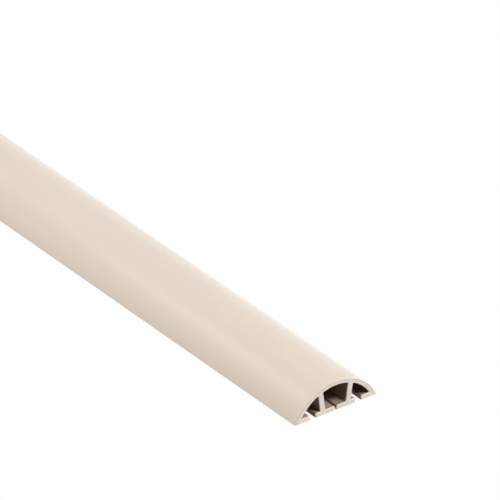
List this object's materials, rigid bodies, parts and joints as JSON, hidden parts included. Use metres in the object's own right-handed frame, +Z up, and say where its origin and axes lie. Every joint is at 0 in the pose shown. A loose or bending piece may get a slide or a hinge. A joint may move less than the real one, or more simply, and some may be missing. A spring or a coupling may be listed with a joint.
{
  "type": "cord cover raceway",
  "caption": "Straight length of beige vinyl cord cover: a low dome on a flat base, with parallel cord channels inside and a slit under each to press the cords in.",
  "frame": {"origin": "middle of the flat underside, halfway along the length", "axes": "+Y along the length, +X across it, +Z up through the dome"},
  "size_m": [0.0508, 1.524, 0.017],
  "materials": {
    "vinyl": "satin extruded flexible vinyl, beige"
  },
  "bodies": {
    "root": {"raceway": "vinyl"}
  },
  "joints": []
}
